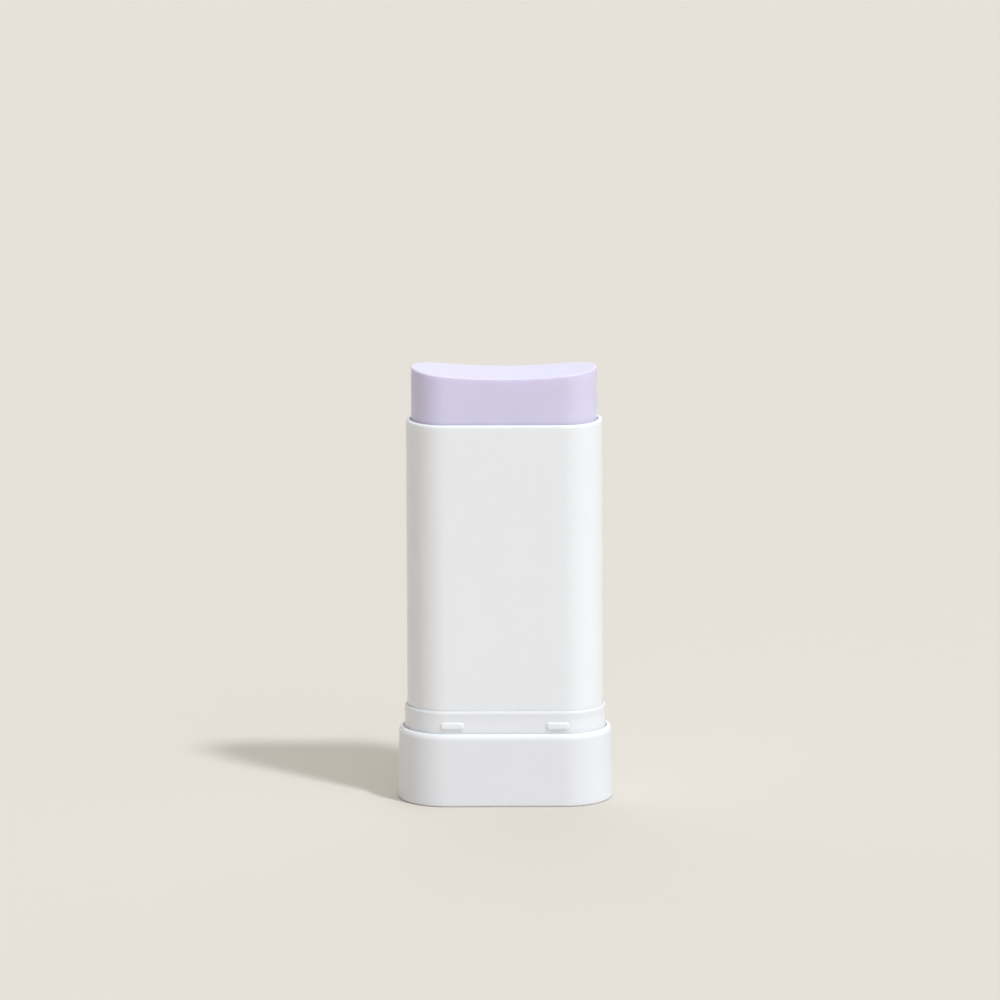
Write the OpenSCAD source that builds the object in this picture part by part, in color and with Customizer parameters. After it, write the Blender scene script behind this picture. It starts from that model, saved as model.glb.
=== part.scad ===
// Twist-up sun care stick in a flat oblong pack, shown with its cap off and the stick wound up a little.
// Origin: centre of the base's underside. +Z up, width along X, depth along Y, front towards -Y.
// Every oblong piece is drawn round the same spine, a straight line of half length spine on the X axis.

/* [Barrel] */
// Width of the barrel across its round ends
barrel_w = 46.0; // [42:0.5:56]
// Depth of the barrel, front to back
barrel_d = 18.4; // [17:0.2:24]
// Height of the barrel that shows above the neck
barrel_h = 68.35; // [50:0.05:90]
// Wall of the barrel
barrel_wall = 0.95; // [0.8:0.05:1.4]
// Width of the rounding of the barrel's rim
barrel_rim_w = 0.5; // [0.1:0.05:0.8]
// Height of that rounding
barrel_rim_h = 0.65; // [0.1:0.05:1]
// Step from the barrel's outside in to its foot, which plugs into the neck
foot_step = 0.8; // [0.5:0.05:1.2]
// Wall of the barrel's foot
foot_wall = 1.1; // [0.8:0.05:1.5]
// Thickness of the barrel's floor
barrel_floor = 1.4; // [1:0.1:2.5]
// Thickness of the shoulder between the foot and the barrel
shoulder = 1.2; // [0.8:0.1:2]

/* [Neck] */
// Height of the neck that shows above the base
neck_h = 5.25; // [4.5:0.05:9]
// How far the neck stands out beyond the barrel
neck_step = 0.6; // [0.5:0.05:1.2]
// Width of the rounding of the neck's top edge
neck_rim_w = 0.4; // [0.1:0.05:0.4]
// Height of that rounding
neck_rim_h = 0.75; // [0.1:0.05:1]
// Seam round the barrel where it enters the neck
neck_seam = 0.15; // [0.05:0.05:0.2]
// Depth of the seat that takes the barrel's end
neck_seat = 1.6; // [1:0.1:3]
// Thickness of the neck's floor
neck_floor = 1.4; // [1:0.1:2.5]
// Height of the bead that centres the neck in the base's mouth
neck_bead = 1.2; // [0.8:0.1:2]

/* [Cap lugs] */
// Length of a lug
lug_l = 5.5; // [3:0.1:8]
// Height of a lug
lug_h = 1.7; // [1.2:0.1:2.4]
// How far a lug stands out from the neck
lug_proud = 0.45; // [0.3:0.05:0.8]
// Rounding of a lug's front edge
lug_edge_r = 0.4; // [0.05:0.05:0.45]
// Distance of a lug's middle from the middle of the pack
lug_x = 12.4; // [8:0.1:13]
// Distance of a lug's middle below the neck's top edge
lug_drop = 3.45; // [2.5:0.05:3.5]

/* [Base] */
// Height of the base
base_h = 17.4; // [15:0.1:24]
// Wall of the base at its rim
base_wall = 1.0; // [0.8:0.05:1.6]
// Slot between the base's rim and the neck
base_slot = 0.4; // [0.3:0.05:0.8]
// Depth of that slot, down to the neck's bead
slot_depth = 0.9; // [0.5:0.1:2]
// How far the base widens from its rim to its foot, on each side
base_flare = 0.2; // [0:0.05:0.6]
// Width of the rounding of the base's rim
base_rim_w = 0.85; // [0.2:0.05:0.95]
// Height of that rounding
base_rim_h = 1.5; // [0.2:0.1:2]
// Rounding of the base's bottom edge
base_foot_r = 0.55; // [0.2:0.05:0.9]
// Thickness of the base's floor
base_floor = 1.6; // [1.2:0.1:2.4]
// Thickness of the ribs that the neck stands on
base_rib = 1.2; // [0.8:0.1:2]

/* [Dial] */
// How far the dial lies above the surface that the pack stands on
dial_recess = 0.4; // [0.2:0.05:1]
// Depth of the two finger pockets
pocket_h = 6.0; // [4.6:0.1:8]
// Wall round the finger pockets
dial_wall = 1.0; // [0.8:0.05:1.5]
// Thickness of the grip bar between the pockets
grip_bar = 3.2; // [2:0.1:4]
// Thickness of the roof over the pockets
dial_roof = 1.2; // [0.8:0.1:2]
// Width of the rim that keeps the dial above the base's floor
dial_lip = 0.8; // [0.6:0.05:1.2]
// Thickness of that rim
dial_lip_t = 1.2; // [0.8:0.1:2]
// Wall of the boss round the spindle's drive foot
boss_wall = 1.4; // [1:0.1:2]
// Length of the boss beyond the neck's floor
boss_out = 2.6; // [2:0.1:5]

/* [Spindle] */
// Radius over the thread's crests
thread_r = 4.0; // [3.5:0.1:4.4]
// Depth of the thread
thread_depth = 0.9; // [0.5:0.05:1.2]
// Rise of the stick for one turn of the dial
thread_lead = 8.0; // [5:0.5:12]
// Number of thread starts
thread_starts = 2; // [1:1:3]
// Side of the square drive foot
drive_side = 4.2; // [3:0.1:4.2]
// Radius of the journal that runs in the barrel's floor
journal_r = 3.05; // [3:0.05:3.3]
// Radius of the flange above the barrel's floor
flange_r = 5.3; // [5:0.1:6]
// Thickness of the flange
flange_t = 1.2; // [0.8:0.1:2]
// Thickness of the seal ring under the flange
seal_t = 1.1; // [0.8:0.1:1.6]
// Distance of the spindle's tip below the barrel's rim
spindle_short = 7.0; // [6:0.1:12]

/* [Elevator] */
// Thickness of the plate that carries the stick
plate_t = 1.4; // [1:0.1:2.5]
// Depth of the skirt below the plate
skirt_h = 4.0; // [2:0.1:6]
// Wall of the skirt
skirt_wall = 0.9; // [0.7:0.05:1.3]
// Wall of the threaded hub
hub_wall = 1.6; // [1.2:0.1:2]
// Height of the hub above the plate
hub_up = 5.0; // [3:0.1:8]
// Thickness of the ribs and anchor fins
fin_t = 1.1; // [0.8:0.1:1.6]
// Height of the anchor fins in the stick
fin_h = 4.0; // [2:0.1:8]
// Length of an anchor fin
fin_l = 6.0; // [3:0.1:7]

/* [Stick] */
// Height of the middle of the stick's top above the barrel's rim
stick_out = 10.9; // [4:0.1:30]
// How far the ends of the stick's top stand above its middle
stick_sag = 1.6; // [0.6:0.1:3]
// Gap between the stick and the barrel
stick_gap = 0.3; // [0.2:0.05:0.5]

/* [Clearances] */
// Fit between turning or plugged pieces, on each side
fit = 0.05; // [0.03:0.01:0.08]
// Gap between pieces that pass each other
clear = 0.3; // [0.25:0.05:0.4]
// Gap between the elevator's skirt and the barrel
slide_gap = 0.2; // [0.15:0.05:0.3]
// Clearance of the thread, at its crests and flanks
thread_gap = 0.25; // [0.2:0.05:0.35]
// Gap between faces that rest on each other
seat_gap = 0.1; // [0.05:0.05:0.2]

/* [Hidden] */

$fn = 96;
over = 1;
white = [0.93, 0.93, 0.94];
part_white = [0.86, 0.86, 0.87];
seal_grey = [0.55, 0.56, 0.58];
lavender = [0.83, 0.79, 0.89];

// Half lengths across the depth of each oblong outline, which are also its end radii
spine = (barrel_w - barrel_d) / 2;
barrel_r = barrel_d / 2;
bore_r = barrel_r - barrel_wall;
foot_r = barrel_r - foot_step;
foot_in_r = foot_r - foot_wall;
neck_r = barrel_r + neck_step;
neck_in_r = foot_r + fit;
cup_in_r = neck_r + base_slot;
cup_r = cup_in_r + base_wall;
stick_r = bore_r - stick_gap;
plate_r = bore_r - slide_gap;

// Radii of the round pieces
dial_lip_r = cup_in_r - clear;
dial_r = dial_lip_r - dial_lip;
dial_hole_r = dial_r + clear;
pocket_r = dial_r - dial_wall;
boss_r = drive_side / sqrt(2) + boss_wall;
root_r = thread_r - thread_depth;
hub_r = thread_r + thread_gap + hub_wall;
tunnel_r = thread_r + 2 * clear;

// Heights of the base, the dial and the neck, from the ground up
lip_z = base_floor + clear;
roof_z = dial_recess + pocket_h;
dial_top = roof_z + dial_roof;
neck_z = dial_top + clear;
neck_floor_z = neck_z + neck_floor;
boss_top = neck_floor_z + boss_out;
neck_top = base_h + neck_h;
bead_top = base_h - slot_depth;
seat_z = neck_top - neck_seat;

// Heights of the barrel and the spindle
foot_z = neck_floor_z + seat_gap;
floor_z = boss_top + clear;
floor_top = floor_z + barrel_floor;
shoulder_z = seat_z + seat_gap;
ledge_z = shoulder_z + shoulder;
rim_z = neck_top + barrel_h;
flange_z = floor_top + seal_t + 2 * fit;
thread_z = flange_z + flange_t;
spindle_top = rim_z - spindle_short;
tip_h = root_r / 2;

// Heights of the elevator and the stick: parked, the stick's ends lie clear below the rim
raised = stick_out + stick_sag + clear;
plate_z = ledge_z + clear + skirt_h + raised;
plate_top = plate_z + plate_t;
hub_z = thread_z + clear + raised;
hub_top = plate_top + hub_up;
stick_z = plate_top + seat_gap;
stick_mid = rim_z + stick_out;
tunnel_top = spindle_top + raised + clear;

// Thread form, as angles round the spindle
start_angle = 360 / thread_starts;
crest_half = 0.19 * start_angle;
root_from = 0.31 * start_angle;
flank_gap = 360 * thread_gap / thread_lead;
slices_per_turn = 16;
arc_steps = 3;

// Points of an arc round [x, y], from angle a to angle b
function arc(x, y, r, a, b, steps) =
    [for (i = [0 : steps]) let (t = a + (b - a) * i / steps) [x + r * cos(t), y + r * sin(t)]];

// Points of a rim's outer rounding, w wide and h high, that ends at radius r and height z
function rim(r, z, w, h, steps) =
    [for (p = arc(0, 0, 1, 0, 90, steps)) [r - w + w * p[0], z - h + h * p[1]]];

// Section of the thread, with its crests spread by an angle on each flank
function thread_section(crest, root, spread) = [
    for (i = [0 : thread_starts - 1])
        let (mid = i * start_angle)
            each concat(
                arc(0, 0, crest, mid - crest_half - spread, mid + crest_half + spread, arc_steps),
                arc(0, 0, root, mid + root_from + spread, mid + start_angle - root_from - spread,
                    arc_steps))
];

// Solid oblong block from z to z + h, with end radius r
module oblong(r, z, h) {
    translate([0, 0, z])
        linear_extrude(h) {
            square([2 * spine, 2 * r], center = true);
            for (side = [-1, 1])
                translate([side * spine, 0])
                    circle(r);
        }
}

// Takes a half section, drawn from its axis outwards, round an oblong of half length half
module sweep_oblong(half) {
    for (side = [-1, 1])
        translate([side * half, 0, 0])
            rotate([0, 0, -90 * side])
                rotate_extrude(angle = 180)
                    children();
    rotate([90, 0, 90])
        linear_extrude(2 * half, center = true) {
            children();
            mirror([1, 0])
                children();
        }
}

// Half section of the base: flared side, rounded rim and rounded bottom edge
module base_section() {
    polygon(concat(
        [[0, 0]],
        arc(cup_r + base_flare - base_foot_r, base_foot_r, base_foot_r, -90, 0, 6),
        rim(cup_r, base_h, base_rim_w, base_rim_h, 8),
        [[0, base_h]]));
}

// Outer cup that the hand holds, with the hole for the dial and the ribs under the neck
module base_shell() {
    color(white) {
        difference() {
            sweep_oblong(spine)
                base_section();
            oblong(cup_in_r, base_floor, base_h);
            translate([0, 0, -over])
                cylinder(r = dial_hole_r, h = base_floor + 2 * over);
        }
        base_ribs();
    }
}

// Four ribs at the ends of the base, from its floor to the neck, sunk into the floor and the wall
module base_ribs() {
    rib_low = base_floor / 2;
    rib_h = neck_z - seat_gap - rib_low;
    intersection() {
        oblong(cup_in_r + base_wall / 2, rib_low, rib_h);
        for (side = [-1, 1])
            for (y = [-1, 1])
                translate([side * (spine + cup_in_r), y * cup_in_r / 2, rib_low + rib_h / 2])
                    cube([2 * cup_in_r, base_rib, rib_h + over], center = true);
    }
}

// Half section of the neck: a foot and a bead that fit the base, a plain side and a rounded top edge
module neck_section() {
    neck_foot_r = cup_in_r - fit;
    polygon(concat(
        [[0, neck_z], [neck_foot_r, neck_z], [neck_foot_r, neck_floor_z], [neck_r, neck_floor_z],
         [neck_r, bead_top - neck_bead], [neck_foot_r, bead_top - neck_bead], [neck_foot_r, bead_top],
         [neck_r, bead_top]],
        rim(neck_r, neck_top, neck_rim_w, neck_rim_h, 6),
        [[0, neck_top]]));
}

// Neck that takes the barrel's foot and carries the lugs for the cap
module neck_collar() {
    color(white) {
        difference() {
            sweep_oblong(spine)
                neck_section();
            oblong(neck_in_r, neck_floor_z, neck_top);
            oblong(barrel_r + neck_seam, seat_z, neck_top);
            translate([0, 0, neck_z - over])
                cylinder(r = boss_r + clear, h = neck_floor + 2 * over);
        }
        for (side = [-1, 1])
            for (x = [-lug_x, lug_x])
                translate([x, side * neck_r, neck_top - lug_drop])
                    rotate([-90 * side, 0, 0])
                        lug();
    }
}

// One lug, lying on its face and sunk into the neck's wall by half of what stands out
module lug() {
    sweep_oblong((lug_l - lug_h) / 2)
        polygon(concat(
            [[0, -lug_proud / 2], [lug_h / 2, -lug_proud / 2]],
            arc(lug_h / 2 - lug_edge_r, lug_proud - lug_edge_r, lug_edge_r, 0, 90, 6),
            [[0, lug_proud]]));
}

// Half section of the barrel's outside: the foot, the shoulder and the rounded rim
module barrel_section() {
    polygon(concat(
        [[0, foot_z], [foot_r, foot_z], [foot_r, shoulder_z], [barrel_r, shoulder_z]],
        rim(barrel_r, rim_z, barrel_rim_w, barrel_rim_h, 6),
        [[0, rim_z]]));
}

// Tube that holds the stick, with a narrower foot and a floor for the spindle
module barrel() {
    color(white)
        difference() {
            sweep_oblong(spine)
                barrel_section();
            oblong(bore_r, ledge_z, rim_z);
            oblong(foot_in_r, floor_top, ledge_z - floor_top + over);
            oblong(foot_in_r, foot_z - over, floor_z - foot_z + over);
            translate([0, 0, floor_z - over])
                cylinder(r = journal_r + fit, h = barrel_floor + 2 * over);
        }
}

// Thumb dial in the underside: a lip over the base's floor, two finger pockets and a drive boss
module dial() {
    color(part_white)
        difference() {
            rotate_extrude()
                polygon([
                    [0, dial_recess], [dial_r, dial_recess], [dial_r, lip_z], [dial_lip_r, lip_z],
                    [dial_lip_r, lip_z + dial_lip_t], [dial_r, lip_z + dial_lip_t],
                    [dial_r, dial_top], [boss_r, dial_top], [boss_r, boss_top], [0, boss_top]]);
            difference() {
                translate([0, 0, dial_recess - over])
                    cylinder(r = pocket_r, h = pocket_h + over);
                translate([0, 0, dial_recess])
                    cube([2 * dial_lip_r, grip_bar, 2 * pocket_h + over], center = true);
            }
            drive_foot(fit);
        }
}

// Square foot that joins the spindle to the dial, larger on each side by grow
module drive_foot(grow) {
    side = drive_side + 2 * grow;
    height = boss_top - roof_z + over;
    translate([-side / 2, -side / 2, roof_z + dial_roof / 2 - grow])
        cube([side, side, height]);
}

// Screw that the dial turns: drive foot, journal, flange, coarse thread and a tapered tip
module spindle() {
    thread_h = spindle_top - tip_h - thread_z;
    color(part_white) {
        drive_foot(0);
        translate([0, 0, boss_top + clear / 2])
            cylinder(r = journal_r, h = flange_z - boss_top - clear / 2);
        translate([0, 0, flange_z])
            cylinder(r = flange_r, h = flange_t);
        translate([0, 0, thread_z])
            thread(thread_r, root_r, 0, thread_h);
        translate([0, 0, spindle_top - tip_h])
            cylinder(r1 = root_r * cos(15), r2 = root_r / 2, h = tip_h);
    }
}

// Left-hand thread of height h, standing on z = 0 with its first crest towards +X
module thread(crest, root, spread, h) {
    turns = h / thread_lead;
    linear_extrude(h, twist = 360 * turns, slices = ceil(slices_per_turn * turns), segments = 1)
        polygon(thread_section(crest, root, spread));
}

// Ring between the flange and the barrel's floor
module spindle_seal() {
    color(seal_grey)
        translate([0, 0, floor_top + fit + seal_t / 2])
            rotate_extrude()
                translate([journal_r + fit + seal_t / 2, 0])
                    circle(d = seal_t, $fn = 32);
}

// Plate that lifts the stick: skirt, ribs, threaded hub and anchor fins
module elevator() {
    hub_h = hub_top - hub_z;
    color(part_white)
        difference() {
            union() {
                oblong(plate_r, plate_z, plate_t);
                difference() {
                    oblong(plate_r, plate_z - skirt_h, skirt_h);
                    oblong(plate_r - skirt_wall, plate_z - skirt_h - over, skirt_h + over);
                }
                translate([0, 0, hub_z])
                    cylinder(r = hub_r, h = hub_h);
                translate([0, 0, plate_z - skirt_h / 2])
                    cube([2 * (spine + plate_r - skirt_wall / 2), fin_t, skirt_h], center = true);
                anchor_fins(0);
            }
            elevator_thread(hub_h);
        }
}

// Threaded hole of the hub, turned to mesh with the spindle's thread at this height
module elevator_thread(hub_h) {
    low = hub_z - over;
    translate([0, 0, low])
        rotate([0, 0, -360 * (low - thread_z) / thread_lead])
            thread(thread_r + thread_gap, root_r + thread_gap, flank_gap, hub_h + 2 * over);
}

// Two upright fins that key the plate into the stick, larger on each side by grow
module anchor_fins(grow) {
    for (side = [-1, 1])
        translate([side * (spine + (stick_r - fin_l) / 2) - (fin_l / 2 + grow), -fin_t / 2 - grow,
                   plate_top - over])
            cube([fin_l + 2 * grow, fin_t + 2 * grow, fin_h + over + grow]);
}

// Block of product with a hollowed top, moulded round the spindle, the hub and the fins
module stick() {
    stick_half = spine + stick_r;
    hollow_r = (pow(stick_half, 2) + pow(stick_sag, 2)) / (2 * stick_sag);
    color(lavender)
        difference() {
            oblong(stick_r, stick_z, stick_mid + stick_sag - stick_z);
            translate([0, 0, stick_mid + hollow_r])
                rotate([90, 0, 0])
                    cylinder(r = hollow_r, h = 4 * stick_r, center = true);
            translate([0, 0, stick_z - over])
                cylinder(r = tunnel_r, h = tunnel_top - stick_z + over);
            translate([0, 0, stick_z - over])
                cylinder(r = hub_r + fit, h = hub_top - stick_z + over + fit);
            anchor_fins(fit);
        }
}

base_shell();
neck_collar();
barrel();
dial();
spindle();
spindle_seal();
elevator();
stick();
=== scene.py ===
"""Twist-up sun care stick in a flat oblong pack, on a plain pale floor.

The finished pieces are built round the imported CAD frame, in metres, with +Z up and the front
towards -Y. Every oblong piece is swept round the same spine, a straight line on the X axis.
"""

import math

import bmesh
import bpy
from bpy.props import FloatProperty, FloatVectorProperty, PointerProperty
from mathutils import Matrix, Vector


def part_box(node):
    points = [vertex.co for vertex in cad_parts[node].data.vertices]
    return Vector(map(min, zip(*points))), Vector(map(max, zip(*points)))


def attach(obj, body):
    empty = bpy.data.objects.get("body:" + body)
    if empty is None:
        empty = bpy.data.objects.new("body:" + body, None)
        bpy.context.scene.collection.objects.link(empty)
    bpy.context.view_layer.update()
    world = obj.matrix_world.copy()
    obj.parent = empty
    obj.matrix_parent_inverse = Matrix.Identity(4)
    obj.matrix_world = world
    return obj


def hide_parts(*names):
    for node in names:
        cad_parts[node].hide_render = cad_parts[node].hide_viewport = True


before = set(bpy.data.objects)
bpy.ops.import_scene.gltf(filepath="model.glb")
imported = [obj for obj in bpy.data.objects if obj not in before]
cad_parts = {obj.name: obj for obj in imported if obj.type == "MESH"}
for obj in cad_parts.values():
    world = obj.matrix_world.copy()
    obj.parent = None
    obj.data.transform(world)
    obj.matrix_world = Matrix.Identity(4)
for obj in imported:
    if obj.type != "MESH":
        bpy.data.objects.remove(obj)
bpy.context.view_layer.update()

bl_info = {
    "name": "Twist-up Stick",
    "version": (1, 0, 0),
    "blender": (4, 5, 0),
    "location": "3D View > Sidebar > Stick",
    "description": "Builds a twist-up sun care stick round its CAD frame",
    "category": "Object",
}

MM = 0.001
CUT = 1.0 * MM

# Corners of the CAD nodes that the sizes are taken from
BASE_LOW, BASE_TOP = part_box("base_shell")
NECK_LOW, NECK_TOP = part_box("neck_collar")
BARREL_LOW, BARREL_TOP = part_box("barrel")
DIAL_LOW, DIAL_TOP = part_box("dial")
STICK_LOW, STICK_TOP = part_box("stick")
SCREW_LOW, SCREW_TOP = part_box("spindle")
LIFT_LOW, LIFT_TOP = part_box("elevator")
SPINE = BASE_TOP.x - BASE_TOP.y

# Inner sizes of the base and the neck
DIAL_LAP = 0.5 * MM
RIB_HALF = 0.6 * MM
RIB_GAP = 0.1 * MM
NECK_LEDGE = 0.75 * MM
NECK_FLOOR = 1.4 * MM
NECK_HOLE = 4.67 * MM
SEAM_DIP = 0.03 * MM
LUG_ROOT = -0.2 * MM

# Inner sizes of the barrel
FOOT_STEP = 0.8 * MM
FOOT_WALL = 1.1 * MM
SEAT_GAP = 0.1 * MM
FLOOR_GAP = 0.3 * MM
SHOULDER = 1.2 * MM
BARREL_FLOOR = 1.4 * MM
BARREL_HOLE = 3.1 * MM

# Inner sizes of the dial
DIAL_LIP = 0.8 * MM
DIAL_BOSS = 4.37 * MM
LIP_LOW = 1.9 * MM
LIP_HEIGHT = 1.2 * MM
POCKET_DEPTH = 6.0 * MM
POCKET_ROOF = 1.2 * MM
POCKET_WALL = 1.0 * MM
GRIP_HALF = 1.6 * MM
DRIVE_HALF = 2.15 * MM
DRIVE_FLOOR = 0.55 * MM
DIAL_EDGE = 0.15 * MM

# Inner sizes of the stick, whose hollow takes the screw and the lift plate's hub and fins
STICK_FOOT = 0.25 * MM
STICK_SHOULDER = 3.0 * MM
EDGE_BAND = 0.25 * MM
EDGE_STEPS = 8
TOP_RINGS = 18
TUNNEL = 4.6 * MM
TUNNEL_OVER = 13.1 * MM
HUB = 5.9 * MM
HUB_OVER = 0.05 * MM
FIN_X = 14.775 * MM
FIN_DROP = 0.95 * MM
FIN_LENGTH = 3.05 * MM
FIN_HALF = 0.6 * MM


def length(name, description, default, low=0.0, high=0.2):
    """A size in metres, shown in millimetres or in the scene's own unit."""
    return FloatProperty(name=name, description=description, default=default, min=low, max=high,
                         subtype="DISTANCE", unit="LENGTH", precision=5)


def colour(name, description, default):
    """A colour as the shader takes it."""
    return FloatVectorProperty(name=name, description=description, default=default, min=0.0, max=1.0,
                               size=3, subtype="COLOR")


def factor(name, description, default, low=0.0, high=1.0):
    """A plain number between two limits."""
    return FloatProperty(name=name, description=description, default=default, min=low, max=high,
                         subtype="FACTOR")


class StickSizes(bpy.types.PropertyGroup):
    """Sizes of the pack that the CAD frame does not fix by its corners."""
    base_wall: length("Base wall", "Wall of the base at its rim", 1.0 * MM)
    base_flare: length("Base flare", "How far the base widens to its foot", 0.2 * MM)
    slot_depth: length("Slot depth", "Depth of that slot, down to the neck's bead", 0.9 * MM)
    base_rim_w: length("Base rim width", "Width of the rounding of the base's rim", 0.85 * MM)
    base_rim_h: length("Base rim height", "Height of the rounding of the base's rim", 1.5 * MM)
    base_foot: length("Base foot rounding", "Rounding of the base's bottom edge", 0.55 * MM)
    base_floor: length("Base floor", "Thickness of the base's floor", 1.6 * MM)
    neck_step: length("Neck step", "How far the neck stands out beyond the barrel", 0.6 * MM)
    neck_rim_w: length("Neck rim width", "Width of the rounding of the neck's top edge", 0.4 * MM)
    neck_rim_h: length("Neck rim height", "Height of the rounding of the neck's top edge", 0.75 * MM)
    neck_seam: length("Neck seam", "Seam round the barrel where it enters the neck", 0.15 * MM)
    neck_seat: length("Neck seat", "Depth of the seat that takes the barrel's end", 1.6 * MM)
    neck_bead: length("Neck bead", "Height of the bead that centres the neck in the base", 1.2 * MM)
    lug_length: length("Lug length", "Length of a cap lug", 5.5 * MM)
    lug_height: length("Lug height", "Height of a cap lug", 1.7 * MM)
    lug_proud: length("Lug proud", "How far a cap lug stands out", 0.45 * MM)
    lug_edge: length("Lug edge", "Rounding of a cap lug's front edge", 0.4 * MM)
    lug_x: length("Lug place", "Distance of a lug's middle from the pack's middle", 12.4 * MM)
    lug_drop: length("Lug drop", "Distance of a lug's middle below the neck's top", 3.45 * MM)
    barrel_wall: length("Barrel wall", "Wall of the barrel", 0.95 * MM)
    barrel_rim_w: length("Barrel rim width", "Width of the rounding of the barrel's rim", 0.5 * MM)
    barrel_rim_h: length("Barrel rim height", "Height of the rounding of the barrel's rim", 0.65 * MM)
    crisp: length("Crisp edges", "Rounding of the small moulded edges", 0.1 * MM)
    stick_gap: length("Stick gap", "Gap between the stick and the barrel", 0.3 * MM)
    stick_sag: length("Stick hollow", "How far the stick's top dips in its middle", 1.6 * MM)
    stick_edge: length("Stick edge", "Rounding of the stick's top edge", 0.4 * MM)


class StickFinishes(bpy.types.PropertyGroup):
    """Colours and gloss of the pack and the stick."""
    barrel: colour("Barrel white", "Colour of the moulded barrel", (0.945, 0.942, 0.96))
    neck: colour("Neck white", "Colour of the moulded neck", (0.92, 0.915, 0.935))
    base: colour("Base white", "Colour of the moulded base", (0.872, 0.869, 0.886))
    inner: colour("Inner white", "Colour of the dial, the screw and the lift", (0.84, 0.84, 0.85))
    seal: colour("Seal grey", "Colour of the seal ring", (0.24, 0.25, 0.27))
    stick: colour("Lavender", "Colour of the stick", (0.752, 0.703, 0.862))
    floor: colour("Floor", "Colour of the floor", (0.718, 0.664, 0.592))
    pack_gloss: factor("Pack roughness", "Roughness of the moulded pack", 0.30)
    stick_gloss: factor("Stick roughness", "Roughness of the stick", 0.42)
    glow: factor("Pack glow", "How much light passes just under the pack's skin", 0.7)


def sizes():
    """The sizes set in the scene."""
    return bpy.context.scene.stick_sizes


def finishes():
    """The finishes set in the scene."""
    return bpy.context.scene.stick_finishes


# Node helpers

def link_up(tree, kind, inputs=None, **settings):
    """Adds a node, sets its properties, and sets or links its inputs."""
    node = tree.nodes.new(kind)
    for key, value in settings.items():
        setattr(node, key, value)
    for key, value in (inputs or {}).items():
        socket = node.inputs[key]
        if isinstance(value, bpy.types.NodeSocket):
            tree.links.new(value, socket)
        else:
            socket.default_value = value
    return node


def new_tree(name, inputs):
    """A Geometry Nodes tree with one geometry output and named inputs."""
    tree = bpy.data.node_groups.new(name, "GeometryNodeTree")
    for label, kind in inputs:
        tree.interface.new_socket(label, in_out="INPUT", socket_type="NodeSocket" + kind)
    tree.interface.new_socket("Geometry", in_out="OUTPUT", socket_type="NodeSocketGeometry")
    start = tree.nodes.new("NodeGroupInput")
    return tree, start.outputs


def close_tree(tree, geometry, material):
    """Ends a tree in Realize Instances and Set Material."""
    real = link_up(tree, "GeometryNodeRealizeInstances", {"Geometry": geometry})
    done = link_up(tree, "GeometryNodeSetMaterial",
                   {"Geometry": real.outputs[0], "Material": material})
    end = tree.nodes.new("NodeGroupOutput")
    tree.links.new(done.outputs[0], end.inputs[0])
    return tree


def sums(tree, operation, first, second=0.0):
    """One step of sums on numbers or sockets."""
    return link_up(tree, "ShaderNodeMath", {0: first, 1: second}, operation=operation).outputs[0]


def oblong_sweep_tree():
    """Takes a section, drawn as (distance, height), round an oblong and closes it at the middle line.

    Going round once is a turn about the right end, a straight run, a turn about the left end and a
    run back.
    """
    tree, given = new_tree("Oblong sweep", [
        ("Section", "Geometry"), ("Half length", "Float"), ("Turn steps", "Int"), ("Run steps", "Int"),
        ("Material", "Material")])
    points = link_up(tree, "GeometryNodeAttributeDomainSize", {"Geometry": given["Section"]},
                     component="MESH").outputs["Point Count"]
    lap = sums(tree, "ADD", given["Turn steps"], given["Run steps"])
    around = sums(tree, "ADD", sums(tree, "MULTIPLY", lap, 2.0), 1.0)
    sheet = link_up(tree, "GeometryNodeMeshGrid",
                    {"Size X": 1.0, "Size Y": 1.0, "Vertices X": around, "Vertices Y": points})
    number = tree.nodes.new("GeometryNodeInputIndex").outputs[0]
    across = sums(tree, "FLOORED_MODULO", number, points)
    step = sums(tree, "FLOOR", sums(tree, "DIVIDE", sums(tree, "ADD", number, 0.5), points))
    side = sums(tree, "FLOOR", sums(tree, "DIVIDE", sums(tree, "ADD", step, 0.5), lap))
    side = sums(tree, "FLOORED_MODULO", side, 2.0)
    part = sums(tree, "FLOORED_MODULO", step, lap)
    turned = sums(tree, "MINIMUM", sums(tree, "DIVIDE", part, given["Turn steps"]), 1.0)
    halves = sums(tree, "SUBTRACT", sums(tree, "ADD", side, turned), 0.5)
    angle = sums(tree, "MULTIPLY", halves, math.pi)
    run = sums(tree, "MAXIMUM", sums(tree, "SUBTRACT", part, given["Turn steps"]), 0.0)
    run = sums(tree, "MULTIPLY", sums(tree, "DIVIDE", run, given["Run steps"]), 2.0)
    along = sums(tree, "MULTIPLY", sums(tree, "SUBTRACT", 1.0, run), given["Half length"])
    way = sums(tree, "SUBTRACT", 1.0, sums(tree, "MULTIPLY", side, 2.0))
    along = sums(tree, "MULTIPLY", along, way)
    here = tree.nodes.new("GeometryNodeInputPosition").outputs[0]
    drawn = link_up(tree, "GeometryNodeSampleIndex",
                    {"Geometry": given["Section"], "Value": here, "Index": across},
                    data_type="FLOAT_VECTOR", domain="POINT")
    drawn = link_up(tree, "ShaderNodeSeparateXYZ", {0: drawn.outputs[0]})
    out_x = sums(tree, "MULTIPLY", sums(tree, "COSINE", angle), drawn.outputs["X"])
    out_y = sums(tree, "MULTIPLY", sums(tree, "SINE", angle), drawn.outputs["X"])
    spot = link_up(tree, "ShaderNodeCombineXYZ",
                   {"X": sums(tree, "ADD", along, out_x), "Y": out_y, "Z": drawn.outputs["Y"]})
    swept = link_up(tree, "GeometryNodeSetPosition",
                    {"Geometry": sheet.outputs["Mesh"], "Position": spot.outputs[0]})
    closed = link_up(tree, "GeometryNodeMergeByDistance",
                     {"Geometry": swept.outputs[0], "Distance": 1e-6})
    return close_tree(tree, closed.outputs[0], given["Material"])


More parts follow.
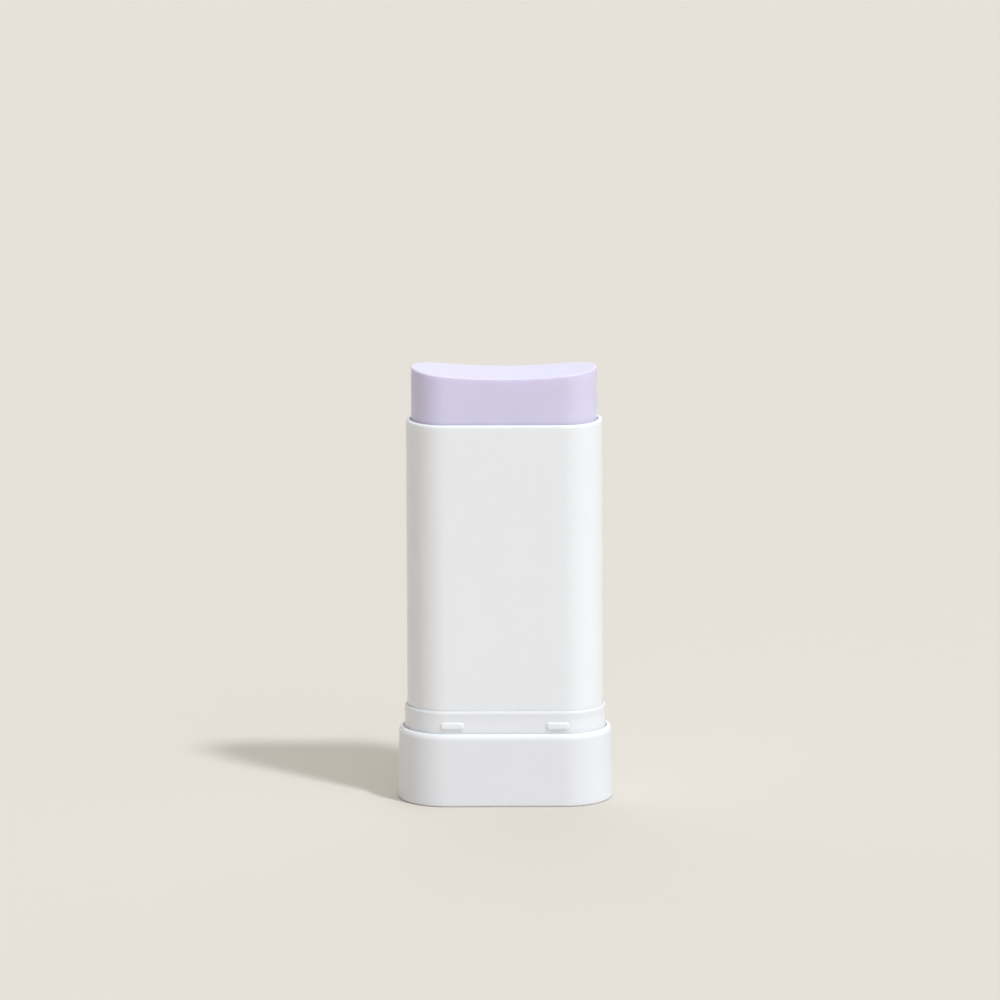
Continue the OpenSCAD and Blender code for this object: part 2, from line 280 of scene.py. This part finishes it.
def lug_row_tree():
    """Sets two lugs on the front of the neck and two on its back."""
    tree, given = new_tree("Lug row", [
        ("Lug", "Geometry"), ("Distance", "Float"), ("Neck radius", "Float"), ("Height", "Float"),
        ("Material", "Material")])
    left = sums(tree, "MULTIPLY", given["Distance"], -1.0)
    face = sums(tree, "MULTIPLY", given["Neck radius"], -1.0)
    first = link_up(tree, "ShaderNodeCombineXYZ", {"X": left, "Y": face, "Z": given["Height"]})
    pitch = sums(tree, "MULTIPLY", given["Distance"], 2.0)
    step = link_up(tree, "ShaderNodeCombineXYZ", {"X": pitch})
    row = link_up(tree, "GeometryNodeMeshLine",
                  {"Count": 2, "Start Location": first.outputs[0], "Offset": step.outputs[0]},
                  mode="OFFSET")
    front = link_up(tree, "GeometryNodeInstanceOnPoints",
                    {"Points": row.outputs[0], "Instance": given["Lug"]})
    back = link_up(tree, "GeometryNodeTransform",
                   {"Geometry": front.outputs[0], "Rotation": (0.0, 0.0, math.pi)})
    both = tree.nodes.new("GeometryNodeJoinGeometry")
    tree.links.new(front.outputs[0], both.inputs[0])
    tree.links.new(back.outputs[0], both.inputs[0])
    return close_tree(tree, both.outputs[0], given["Material"])


# Mesh helpers

def arc(x, z, r, a, b, steps):
    """Points of an arc round (x, z), from angle a to angle b in degrees."""
    turns = [math.radians(a + (b - a) * i / steps) for i in range(steps + 1)]
    return [(x + r * math.cos(t), z + r * math.sin(t)) for t in turns]


def rim_curve(r, z, w, h, steps=12):
    """Points of a rim's outer rounding, w wide and h high, that ends at distance r and height z."""
    return [(r - w + w * x, z - h + h * y) for x, y in arc(0.0, 0.0, 1.0, 0, 90, steps)]


def with_guides(points, gap=0.25 * MM):
    """Adds a point near both ends of each long side, so that flat faces stay flat when smooth."""
    out = []
    for (x0, z0), (x1, z1) in zip(points, points[1:]):
        out.append((x0, z0))
        span = math.hypot(x1 - x0, z1 - z0)
        if span > 4 * gap:
            for t in (gap / span, 1 - gap / span):
                out.append((x0 + (x1 - x0) * t, z0 + (z1 - z0) * t))
    return out + [points[-1]]


def add_object(name, mesh):
    """Links a mesh into the scene as an object at the origin."""
    obj = bpy.data.objects.new(name, mesh)
    bpy.context.scene.collection.objects.link(obj)
    return obj


def drop(*objs):
    """Removes helper objects."""
    for obj in objs:
        bpy.data.objects.remove(obj)


def settle(obj):
    """Turns an object and its modifiers into one plain mesh."""
    evaluated = obj.evaluated_get(bpy.context.evaluated_depsgraph_get())
    mesh = bpy.data.meshes.new_from_object(evaluated)
    obj.modifiers.clear()
    obj.data = mesh
    return obj


def run_tree(obj, tree, **values):
    """Runs a Geometry Nodes tree on an object, with inputs given by name, and keeps the mesh."""
    modifier = obj.modifiers.new(tree.name, "NODES")
    modifier.node_group = tree
    for item in tree.interface.items_tree:
        key = item.name.lower().replace(" ", "_")
        if item.item_type == "SOCKET" and item.in_out == "INPUT" and key in values:
            modifier[item.identifier] = values[key]
    return settle(obj)


def swept(name, section, material, half=None, turn_steps=80, run_steps=8):
    """A solid swept from a half section of (distance from the spine, height) points."""
    mesh = bpy.data.meshes.new(name)
    edges = [(i, i + 1) for i in range(len(section) - 1)]
    mesh.from_pydata([(x, z, 0.0) for x, z in section], edges, [])
    obj = run_tree(add_object(name, mesh), bpy.data.node_groups["Oblong sweep"],
                   half_length=SPINE if half is None else half, turn_steps=turn_steps,
                   run_steps=run_steps, material=material)
    return outward(obj)


def outward(obj):
    """Merges doubles and turns every face of a closed mesh outwards."""
    form = bmesh.new()
    form.from_mesh(obj.data)
    bmesh.ops.remove_doubles(form, verts=form.verts, dist=1e-7)
    bmesh.ops.dissolve_degenerate(form, edges=form.edges, dist=1e-7)
    bmesh.ops.recalc_face_normals(form, faces=form.faces)
    if form.calc_volume(signed=True) < 0:
        bmesh.ops.reverse_faces(form, faces=form.faces)
    form.to_mesh(obj.data)
    form.free()
    return obj


def prism(name, outline, low, high):
    """A straight block between two heights, from the outline's (x, y) points."""
    form = bmesh.new()
    rings = [[form.verts.new((x, y, z)) for x, y in outline] for z in (low, high)]
    form.faces.new(rings[0][::-1])
    form.faces.new(rings[1])
    for i in range(len(outline)):
        j = (i + 1) % len(outline)
        form.faces.new((rings[0][i], rings[0][j], rings[1][j], rings[1][i]))
    mesh = bpy.data.meshes.new(name)
    form.to_mesh(mesh)
    form.free()
    return add_object(name, mesh)


def round_block(name, radius, low, high, steps=96):
    """A cylinder on the Z axis between two heights."""
    turns = [2 * math.pi * i / steps for i in range(steps)]
    return prism(name, [(radius * math.cos(t), radius * math.sin(t)) for t in turns], low, high)


def box_block(name, x, y, low, high, half_x, half_y):
    """A square block with its middle at (x, y)."""
    return prism(name, [(x - half_x, y - half_y), (x + half_x, y - half_y), (x + half_x, y + half_y),
                        (x - half_x, y + half_y)], low, high)


def combine(obj, tools, operation):
    """Cuts the tools out of an object, or joins them to it, and removes them."""
    for tool in tools:
        step = obj.modifiers.new(operation, "BOOLEAN")
        step.operation = operation
        step.solver = "EXACT"
        step.object = tool
    settle(obj)
    drop(*tools)
    return obj


def soften(obj, width, angle=40.0, segments=3):
    """Rounds every edge sharper than an angle by a small width."""
    bevel = obj.modifiers.new("Moulded edges", "BEVEL")
    bevel.width = width
    bevel.segments = segments
    bevel.limit_method = "ANGLE"
    bevel.angle_limit = math.radians(angle)
    bevel.use_clamp_overlap = True
    bevel.miter_outer = "MITER_ARC"
    return settle(obj)


def shade(obj, material, angle=32.0):
    """Gives a piece one material and smooth shading with sharp corners kept."""
    obj.data.materials.clear()
    obj.data.materials.append(material)
    for face in obj.data.polygons:
        face.material_index = 0
    obj.data.shade_smooth()
    obj.data.set_sharp_from_angle(angle=math.radians(angle))
    return obj


def place(obj, body, slot, *nodes):
    """Lets a finished piece ride on a CAD body in place of its CAD nodes."""
    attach(obj, body)
    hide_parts(*nodes)
    return obj


# Materials

# Colour towards which the rims' rounding is lightened: a painted highlight
RIM_HIGHLIGHT_TINT = (0.96, 0.96, 0.96, 1.0)


def new_material(name):
    """An empty node material with its output and a principled shader."""
    material = bpy.data.materials.new(name)
    material.use_nodes = True
    tree = material.node_tree
    tree.nodes.clear()
    shader = tree.nodes.new("ShaderNodeBsdfPrincipled")
    output = tree.nodes.new("ShaderNodeOutputMaterial")
    tree.links.new(shader.outputs[0], output.inputs["Surface"])
    place_of = tree.nodes.new("ShaderNodeTexCoord").outputs["Object"]
    return material, tree, shader, place_of


def moulded_plastic(name, tint, roughness, grain, depth, glow=0.0, rim=None):
    """Moulded plastic: a slight drift of tone, uneven gloss, a fine grain and a soft skin.

    A rim is the two heights between which the rounded edge is painted paler, a painted highlight of the
    light from above.
    """
    material, tree, shader, place_of = new_material(name)
    drift = link_up(tree, "ShaderNodeTexNoise",
                    {"Vector": place_of, "Scale": 55.0, "Detail": 3.0, "Roughness": 0.5})
    tone = link_up(tree, "ShaderNodeMix",
                   {"Factor": drift.outputs["Fac"], 6: (*[c * 0.985 for c in tint], 1.0),
                    7: (*[min(1.0, c * 1.01) for c in tint], 1.0)}, data_type="RGBA")
    if rim:
        # Painted highlight: the tone turns paler up the rim's rounding, where the light from above
        # falls on it
        level = link_up(tree, "ShaderNodeSeparateXYZ", {0: place_of}).outputs["Z"]
        pale = link_up(tree, "ShaderNodeMapRange",
                       {"Value": level, "From Min": rim[0], "From Max": rim[1]},
                       interpolation_type="SMOOTHSTEP")
        tone = link_up(tree, "ShaderNodeMix",
                       {"Factor": pale.outputs[0], 6: tone.outputs[2], 7: RIM_HIGHLIGHT_TINT}, data_type="RGBA")
    tree.links.new(tone.outputs[2], shader.inputs["Base Color"])
    fine = link_up(tree, "ShaderNodeTexNoise",
                   {"Vector": place_of, "Scale": grain, "Detail": 2.0, "Roughness": 0.55})
    gloss = link_up(tree, "ShaderNodeMapRange",
                    {"Value": fine.outputs["Fac"], "From Min": 0.0, "From Max": 1.0,
                     "To Min": roughness - 0.03, "To Max": roughness + 0.03})
    tree.links.new(gloss.outputs[0], shader.inputs["Roughness"])
    bump = link_up(tree, "ShaderNodeBump",
                   {"Height": fine.outputs["Fac"], "Strength": 0.2, "Distance": depth})
    tree.links.new(bump.outputs[0], shader.inputs["Normal"])
    shader.inputs["IOR"].default_value = 1.49
    shader.inputs["Subsurface Weight"].default_value = glow
    shader.inputs["Subsurface Radius"].default_value = (1.0, 1.0, 1.0)
    shader.inputs["Subsurface Scale"].default_value = 0.8 * MM
    return material


def lavender_wax(name, tint, roughness):
    """The stick's product: soft, slightly see-through at its edges, with faint clouds of tone."""
    material, tree, shader, place_of = new_material(name)
    cloud = link_up(tree, "ShaderNodeTexNoise",
                    {"Vector": place_of, "Scale": 120.0, "Detail": 4.0, "Roughness": 0.55})
    tone = link_up(tree, "ShaderNodeMix",
                   {"Factor": cloud.outputs["Fac"], 6: (*[c * 0.96 for c in tint], 1.0),
                    7: (*[min(1.0, c * 1.03) for c in tint], 1.0)}, data_type="RGBA")
    tree.links.new(tone.outputs[2], shader.inputs["Base Color"])
    skin = link_up(tree, "ShaderNodeTexNoise",
                   {"Vector": place_of, "Scale": 240.0, "Detail": 2.0, "Roughness": 0.5})
    gloss = link_up(tree, "ShaderNodeMapRange",
                    {"Value": skin.outputs["Fac"], "From Min": 0.0, "From Max": 1.0,
                     "To Min": roughness - 0.04, "To Max": roughness + 0.04})
    tree.links.new(gloss.outputs[0], shader.inputs["Roughness"])
    bump = link_up(tree, "ShaderNodeBump",
                   {"Height": skin.outputs["Fac"], "Strength": 0.25, "Distance": 0.008 * MM})
    tree.links.new(bump.outputs[0], shader.inputs["Normal"])
    shader.inputs["IOR"].default_value = 1.45
    shader.inputs["Subsurface Weight"].default_value = 0.9
    shader.inputs["Subsurface Radius"].default_value = (1.0, 0.75, 0.9)
    shader.inputs["Subsurface Scale"].default_value = 1.3 * MM
    return material


def seal_rubber(name, tint):
    """Soft grey rubber with a dusty grain."""
    material, tree, shader, place_of = new_material(name)
    dust = link_up(tree, "ShaderNodeTexNoise",
                   {"Vector": place_of, "Scale": 1500.0, "Detail": 3.0, "Roughness": 0.6})
    tone = link_up(tree, "ShaderNodeMix",
                   {"Factor": dust.outputs["Fac"], 6: (*[c * 0.9 for c in tint], 1.0),
                    7: (*[c * 1.1 for c in tint], 1.0)}, data_type="RGBA")
    tree.links.new(tone.outputs[2], shader.inputs["Base Color"])
    bump = link_up(tree, "ShaderNodeBump",
                   {"Height": dust.outputs["Fac"], "Strength": 0.4, "Distance": 0.02 * MM})
    tree.links.new(bump.outputs[0], shader.inputs["Normal"])
    shader.inputs["Roughness"].default_value = 0.62
    return material


def material(name):
    """One of the pack's finishes, made the first time it is asked for."""
    made = bpy.data.materials.get(name)
    if made:
        return made
    look = finishes()
    if name in ("barrel_plastic", "neck_plastic", "base_plastic"):
        part = name.split("_")[0]
        top, height = {"base": (BASE_TOP.z, sizes().base_rim_h),
                       "neck": (NECK_TOP.z, sizes().neck_rim_h),
                       "barrel": (BARREL_TOP.z, sizes().barrel_rim_h)}[part]
        # The band of the painted highlight runs up each rim's rounding, from its foot to near its top
        return moulded_plastic(name, getattr(look, part), look.pack_gloss, 2600.0, 0.004 * MM,
                               look.glow, (top - height, top - 0.3 * height))
    if name == "inner_plastic":
        return moulded_plastic(name, look.inner, 0.5, 1800.0, 0.012 * MM)
    if name == "stick_wax":
        return lavender_wax(name, look.stick, look.stick_gloss)
    if name == "seal_rubber":
        return seal_rubber(name, look.seal)
    raise ValueError(f"the pack has no finish named {name}")


# The pieces

class STICK_OT_base(bpy.types.Operator):
    """Build the outer cup that the hand holds, with the dial's hole and the ribs under the neck"""
    bl_idname = "stick.base"
    bl_label = "Base"

    def execute(self, context):
        s = sizes()
        outer = BASE_TOP.y
        rim = outer - s.base_flare
        inner = rim - s.base_wall
        top = BASE_TOP.z
        section = with_guides(
            [(0.0, 0.0)]
            + arc(outer - s.base_foot, s.base_foot, s.base_foot, -90, 0, 10)
            + rim_curve(rim, top, s.base_rim_w, s.base_rim_h, 16)
            + arc(inner + s.crisp, top - s.crisp, s.crisp, 90, 180, 5)
            + [(inner, s.base_floor), (0.0, s.base_floor)])
        base = swept("base_cup", section, material("base_plastic"))
        hole = DIAL_TOP.x - DIAL_LAP
        combine(base, [round_block("hole", hole, -CUT, s.base_floor + CUT, 128)], "DIFFERENCE")
        ribs = []
        for side in (-1, 1):
            for y in (-inner / 2, inner / 2):
                bend = math.sqrt(inner ** 2 - (abs(y) + RIB_HALF) ** 2)
                reach = SPINE + bend + s.base_wall / 2
                ribs.append(box_block("rib", side * (SPINE + reach) / 2, y, s.base_floor / 2,
                                      NECK_LOW.z - RIB_GAP, (reach - SPINE) / 2, RIB_HALF))
        combine(base, ribs, "UNION")
        shade(base, material("base_plastic"))
        place(base, "pack", "pack_white", "base_shell")
        return {"FINISHED"}


class STICK_OT_neck(bpy.types.Operator):
    """Build the neck that takes the barrel and carries four lugs for the cap"""
    bl_idname = "stick.neck"
    bl_label = "Neck and lugs"

    def execute(self, context):
        s = sizes()
        foot = NECK_TOP.x - SPINE
        side = BARREL_TOP.y + s.neck_step
        seam = BARREL_TOP.y + s.neck_seam
        bore = BARREL_TOP.y - NECK_LEDGE
        low, top = NECK_LOW.z, NECK_TOP.z
        floor = low + NECK_FLOOR
        bead = BASE_TOP.z - s.slot_depth
        section = with_guides(
            [(0.0, low), (foot, low), (foot, floor), (side, floor), (side, bead - s.neck_bead),
             (foot, bead - s.neck_bead), (foot, bead), (side, bead)]
            + rim_curve(side, top, s.neck_rim_w, s.neck_rim_h)
            + [(seam, top - SEAM_DIP), (seam, top - s.neck_seat), (bore, top - s.neck_seat),
               (bore, floor), (0.0, floor)])
        neck = swept("neck_ring", section, material("neck_plastic"))
        combine(neck, [round_block("hole", NECK_HOLE, low - CUT, floor + CUT, 64)], "DIFFERENCE")
        lugs = self.lug(s)
        run_tree(lugs, bpy.data.node_groups["Lug row"], distance=s.lug_x, neck_radius=side,
                 height=top - s.lug_drop, material=material("neck_plastic"))
        combine(neck, [lugs], "UNION")
        shade(neck, material("neck_plastic"))
        place(neck, "pack", "pack_white", "neck_collar")
        return {"FINISHED"}

    def lug(self, s):
        """One pill-shaped lug, standing out towards -Y and sunk a little into the wall."""
        end = s.lug_height / 2
        section = with_guides(
            [(0.0, LUG_ROOT), (end, LUG_ROOT)]
            + arc(end - s.lug_edge, s.lug_proud - s.lug_edge, s.lug_edge, 0, 90, 10)
            + [(0.0, s.lug_proud)], 0.1 * MM)
        lug = swept("lug", section, material("neck_plastic"),
                    half=(s.lug_length - s.lug_height) / 2, turn_steps=24, run_steps=3)
        lug.data.transform(Matrix.Rotation(math.pi / 2, 4, "X"))
        return lug


class STICK_OT_barrel(bpy.types.Operator):
    """Build the oblong tube that holds the stick, with its foot, shoulder, floor and rounded rim"""
    bl_idname = "stick.barrel"
    bl_label = "Barrel"

    def execute(self, context):
        s = sizes()
        wall = BARREL_TOP.y
        bore = wall - s.barrel_wall
        foot = wall - FOOT_STEP
        foot_in = foot - FOOT_WALL
        low, top = BARREL_LOW.z, BARREL_TOP.z
        shoulder = NECK_TOP.z - s.neck_seat + SEAT_GAP
        floor = DIAL_TOP.z + FLOOR_GAP
        section = with_guides(
            [(0.0, floor), (foot_in, floor), (foot_in, low), (foot, low), (foot, shoulder),
             (wall, shoulder)]
            + rim_curve(wall, top, s.barrel_rim_w, s.barrel_rim_h)
            + arc(bore + s.crisp, top - s.crisp, s.crisp, 90, 180, 5)
            + [(bore, shoulder + SHOULDER), (foot_in, shoulder + SHOULDER),
               (foot_in, floor + BARREL_FLOOR), (0.0, floor + BARREL_FLOOR)])
        barrel = swept("barrel_tube", section, material("barrel_plastic"))
        hole = round_block("hole", BARREL_HOLE, floor - CUT, floor + 3 * CUT, 64)
        combine(barrel, [hole], "DIFFERENCE")
        shade(barrel, material("barrel_plastic"))
        place(barrel, "pack", "pack_white", "barrel")
        return {"FINISHED"}


class STICK_OT_dial(bpy.types.Operator):
    """Build the thumb dial in the underside, with its two finger pockets and its grip bar"""
    bl_idname = "stick.dial"
    bl_label = "Thumb dial"

    def execute(self, context):
        lip = DIAL_TOP.x
        side = lip - DIAL_LIP
        low, top = DIAL_LOW.z, DIAL_TOP.z
        lip_top = LIP_LOW + LIP_HEIGHT
        roof = low + POCKET_DEPTH
        cover = roof + POCKET_ROOF
        section = [(0.0, low), (side, low), (side, LIP_LOW), (lip, LIP_LOW), (lip, lip_top),
                   (side, lip_top), (side, cover), (DIAL_BOSS, cover), (DIAL_BOSS, top), (0.0, top)]
        dial = swept("thumb_dial", section, material("inner_plastic"), half=0.0, turn_steps=64,
                     run_steps=1)
        pocket = side - POCKET_WALL
        start = math.asin(GRIP_HALF / pocket)
        tools = []
        for turn in (0.0, math.pi):
            bend = [start + (math.pi - 2 * start) * i / 48 for i in range(49)]
            tools.append(prism("pocket", [(pocket * math.cos(t + turn), pocket * math.sin(t + turn))
                                          for t in bend], low - CUT, roof))
        tools.append(box_block("drive", 0.0, 0.0, roof + DRIVE_FLOOR, top + CUT, DRIVE_HALF,
                               DRIVE_HALF))
        combine(dial, tools, "DIFFERENCE")
        soften(dial, DIAL_EDGE)
        shade(dial, material("inner_plastic"))
        place(dial, "dial", "inner_white", "dial")
        return {"FINISHED"}


class STICK_OT_lift(bpy.types.Operator):
    """Dress the screw, the seal ring and the lift plate, which lie inside"""
    bl_idname = "stick.lift"
    bl_label = "Screw and lift"

    def execute(self, context):
        for node, name, body in (("spindle", "lift_screw", "dial"),
                                 ("elevator", "lift_plate", "carriage")):
            piece = add_object(name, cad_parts[node].data.copy())
            outward(piece)
            shade(piece, material("inner_plastic"), 28.0)
            place(piece, body, "inner_white", node)
        low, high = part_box("spindle_seal")
        cord = (high.z - low.z) / 2
        ring = swept("seal_ring", arc(high.x - cord, low.z + cord, cord, -180, 180, 24),
                     material("seal_rubber"), half=0.0, turn_steps=32, run_steps=1)
        shade(ring, material("seal_rubber"), 60.0)
        place(ring, "dial", "seal_grey", "spindle_seal")
        return {"FINISHED"}


class STICK_OT_product(bpy.types.Operator):
    """Build the lavender stick, with its hollowed top, soft edge and the hollow for the screw"""
    bl_idname = "stick.product"
    bl_label = "Lavender stick"

    def execute(self, context):
        s = sizes()
        side = BARREL_TOP.y - s.barrel_wall - s.stick_gap
        reach = SPINE + side
        middle = STICK_TOP.z - s.stick_sag
        sweep = (reach ** 2 + s.stick_sag ** 2) / (2 * s.stick_sag)
        edge = s.stick_edge

        def top_at(x):
            """Height of the hollowed top."""
            return middle + sweep - math.sqrt(sweep ** 2 - x ** 2)

        levels = [STICK_LOW.z, STICK_LOW.z + STICK_FOOT, middle - STICK_SHOULDER]
        rows = [(side, z, 0.0) for z in levels]
        rows += [(side - edge + edge * math.cos(t), None, edge * math.sin(t) - edge)
                 for t in [math.pi / 2 * i / EDGE_STEPS for i in range(EDGE_STEPS + 1)]]
        flat = side - edge - EDGE_BAND
        rows += [(flat * (1 - i / TOP_RINGS), None, 0.0) for i in range(TOP_RINGS + 1)]
        outline = oblong_outline(40, 12)
        form = bmesh.new()
        grid = []
        for r, z, dz in rows:
            spots = [(cx + dx * r, dy * r) for cx, dx, dy in outline]
            grid.append([form.verts.new((x, y, top_at(x) + dz if z is None else z)) for x, y in spots])
        count = len(outline)
        for low, high in zip(grid, grid[1:]):
            for i in range(count):
                form.faces.new((low[i], low[(i + 1) % count], high[(i + 1) % count], high[i]))
        form.faces.new(grid[0][::-1])
        mesh = bpy.data.meshes.new("stick_bar")
        form.to_mesh(mesh)
        form.free()
        stick = outward(add_object("stick_bar", mesh))
        low = STICK_LOW.z - CUT
        tools = [round_block("tunnel", TUNNEL, low, SCREW_TOP.z + TUNNEL_OVER, 64),
                 round_block("hub", HUB, low, LIFT_TOP.z + HUB_OVER, 64)]
        for turn in (-1, 1):
            tools.append(box_block("fin", turn * FIN_X, 0.0, low, LIFT_TOP.z - FIN_DROP, FIN_LENGTH,
                                   FIN_HALF))
        combine(stick, tools, "DIFFERENCE")
        shade(stick, material("stick_wax"), 40.0)
        place(stick, "carriage", "lavender_stick", "stick")
        return {"FINISHED"}


def oblong_outline(corner_steps, side_cuts):
    """Points of the oblong as (x of the spine's point, outward x, outward y), going round once."""
    points = []
    for side, start in ((1, -math.pi / 2), (-1, math.pi / 2)):
        for i in range(2 * corner_steps + 1):
            t = start + math.pi * i / (2 * corner_steps)
            points.append((side * SPINE, math.cos(t), math.sin(t)))
        for i in range(1, side_cuts + 1):
            points.append((side * SPINE * (1 - 2 * i / (side_cuts + 1)), 0.0, float(side)))
    return points


class STICK_OT_stage(bpy.types.Operator):
    """Set up the floor, the soft light and the camera"""
    bl_idname = "stick.stage"
    bl_label = "Floor, light and camera"

    def execute(self, context):
        scene = context.scene
        self.floor()
        self.world(scene)
        self.key_light()
        self.camera(scene)
        scene.view_settings.view_transform = "Standard"
        return {"FINISHED"}

    def floor(self):
        """A wide plain floor."""
        half = 8.0
        mesh = bpy.data.meshes.new("floor")
        corners = [(-half, -half, 0), (half, -half, 0), (half, half, 0), (-half, half, 0)]
        mesh.from_pydata(corners, [], [(0, 1, 2, 3)])
        floor = add_object("floor", mesh)
        look, tree, shader, place_of = new_material("floor")
        shader.inputs["Base Color"].default_value = (*finishes().floor, 1.0)
        shader.inputs["Roughness"].default_value = 0.9
        shader.inputs["Specular IOR Level"].default_value = 0.1
        mesh.materials.append(look)

    def world(self, scene):
        """Broad pools of soft light, weakest on the left, with the floor's colour behind the pack."""
        world = bpy.data.worlds.new("soft_room")
        world.use_nodes = True
        tree = world.node_tree
        tree.nodes.clear()
        way = tree.nodes.new("ShaderNodeTexCoord").outputs["Generated"]
        light = (0.0, 0.0, 0.0)
        for side, height, focus, tint in SOFT_POOLS:
            turn, rise = math.radians(side), math.radians(height)
            toward = (math.sin(turn) * math.cos(rise), -math.cos(turn) * math.cos(rise), math.sin(rise))
            pool = link_up(tree, "ShaderNodeVectorMath", {0: way, 1: toward}, operation="DOT_PRODUCT")
            pool = sums(tree, "POWER", sums(tree, "MAXIMUM", pool.outputs["Value"], 0.0), focus)
            light = link_up(tree, "ShaderNodeVectorMath", {0: tint, 1: [1.0] * 3, 2: light},
                            operation="MULTIPLY_ADD")
            tree.links.new(pool, light.inputs[1])
            light = light.outputs[0]
        soft = link_up(tree, "ShaderNodeBackground", {"Color": light, "Strength": 1.0})
        backdrop = link_up(tree, "ShaderNodeBackground", {"Color": BACKDROP, "Strength": 1.0})
        seen = tree.nodes.new("ShaderNodeLightPath").outputs["Is Camera Ray"]
        mixed = link_up(tree, "ShaderNodeMixShader",
                        {0: seen, 1: soft.outputs[0], 2: backdrop.outputs[0]})
        output = tree.nodes.new("ShaderNodeOutputWorld")
        tree.links.new(mixed.outputs[0], output.inputs["Surface"])
        scene.world = world

    def key_light(self):
        """One soft-edged lamp from the right, in front and above."""
        lamp = bpy.data.lights.new("key", "SUN")
        lamp.energy = KEY_POWER
        lamp.angle = math.radians(KEY_ANGLE)
        lamp.color = KEY_TINT
        key = bpy.data.objects.new("key", lamp)
        key.rotation_euler = Vector(KEY_FROM).to_track_quat("Z", "Y").to_euler()
        bpy.context.scene.collection.objects.link(key)

    def camera(self, scene):
        """A long lens, twelve degrees above the front."""
        lens = bpy.data.cameras.new("camera")
        lens.lens = LENS
        lens.sensor_width = 36.0
        lens.clip_end = 50.0
        camera = bpy.data.objects.new("camera", lens)
        camera.location = CAMERA_PLACE
        camera.rotation_euler = [math.radians(turn) for turn in CAMERA_TURN]
        scene.collection.objects.link(camera)
        scene.camera = camera


# Camera: focal length in millimetres, place in metres and turn in degrees
LENS = 384.1
CAMERA_PLACE = (0.01177, -2.44211, 0.60603)
CAMERA_TURN = (77.65, 0.215, 0.253)

# Light of the stage. A pool of soft light is its side, in degrees round from the front by the
# right, its height in degrees, how narrow it is, and its light.
KEY_FROM = (0.4855, -0.457, 1.0)
KEY_POWER = 1.53
KEY_ANGLE = 6.0
KEY_TINT = (0.914, 1.0, 1.061)
SOFT_POOLS = (
    (0, 5, 8.0, (0.14, 0.13, 0.19)),
    (30, 5, 8.0, (0.714, 0.735, 0.775)),
    (45, 25, 3.0, (0.697, 0.732, 0.797)),
    (180, 25, 3.0, (0.824, 0.844, 0.841)),
    (225, 25, 3.0, (0.362, 0.377, 0.372)),
    (0, 60, 8.0, (0.454, 0.450, 0.450)),
    (180, 60, 8.0, (0.314, 0.311, 0.316)),
    (270, 60, 8.0, (0.093, 0.087, 0.073)),
    (0, 90, 3.0, (0.352, 0.335, 0.324)),
    (0, 90, 16.0, (0.441, 0.431, 0.422)),
)
BACKDROP = (0.79, 0.76, 0.695, 1.0)

STEPS = (STICK_OT_base, STICK_OT_neck, STICK_OT_barrel, STICK_OT_dial, STICK_OT_lift,
         STICK_OT_product, STICK_OT_stage)


class STICK_PT_panel(bpy.types.Panel):
    """Lists the pieces and their sizes in the sidebar"""
    bl_idname = "STICK_PT_panel"
    bl_label = "Twist-up Stick"
    bl_space_type = "VIEW_3D"
    bl_region_type = "UI"
    bl_category = "Stick"

    def draw(self, context):
        layout = self.layout
        for step in STEPS:
            layout.operator(step.bl_idname)
        for group in (context.scene.stick_sizes, context.scene.stick_finishes):
            column = layout.column(align=True)
            for key in group.__annotations__:
                column.prop(group, key)


CLASSES = (StickSizes, StickFinishes) + STEPS + (STICK_PT_panel,)


def register():
    for made in CLASSES:
        bpy.utils.register_class(made)
    bpy.types.Scene.stick_sizes = PointerProperty(type=StickSizes)
    bpy.types.Scene.stick_finishes = PointerProperty(type=StickFinishes)


def unregister():
    del bpy.types.Scene.stick_finishes
    del bpy.types.Scene.stick_sizes
    for made in reversed(CLASSES):
        bpy.utils.unregister_class(made)


def main():
    """Registers the add-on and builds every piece."""
    register()
    oblong_sweep_tree()
    lug_row_tree()
    for step in STEPS:
        group, name = step.bl_idname.split(".")
        getattr(getattr(bpy.ops, group), name)()


if __name__ == "__main__":
    main()
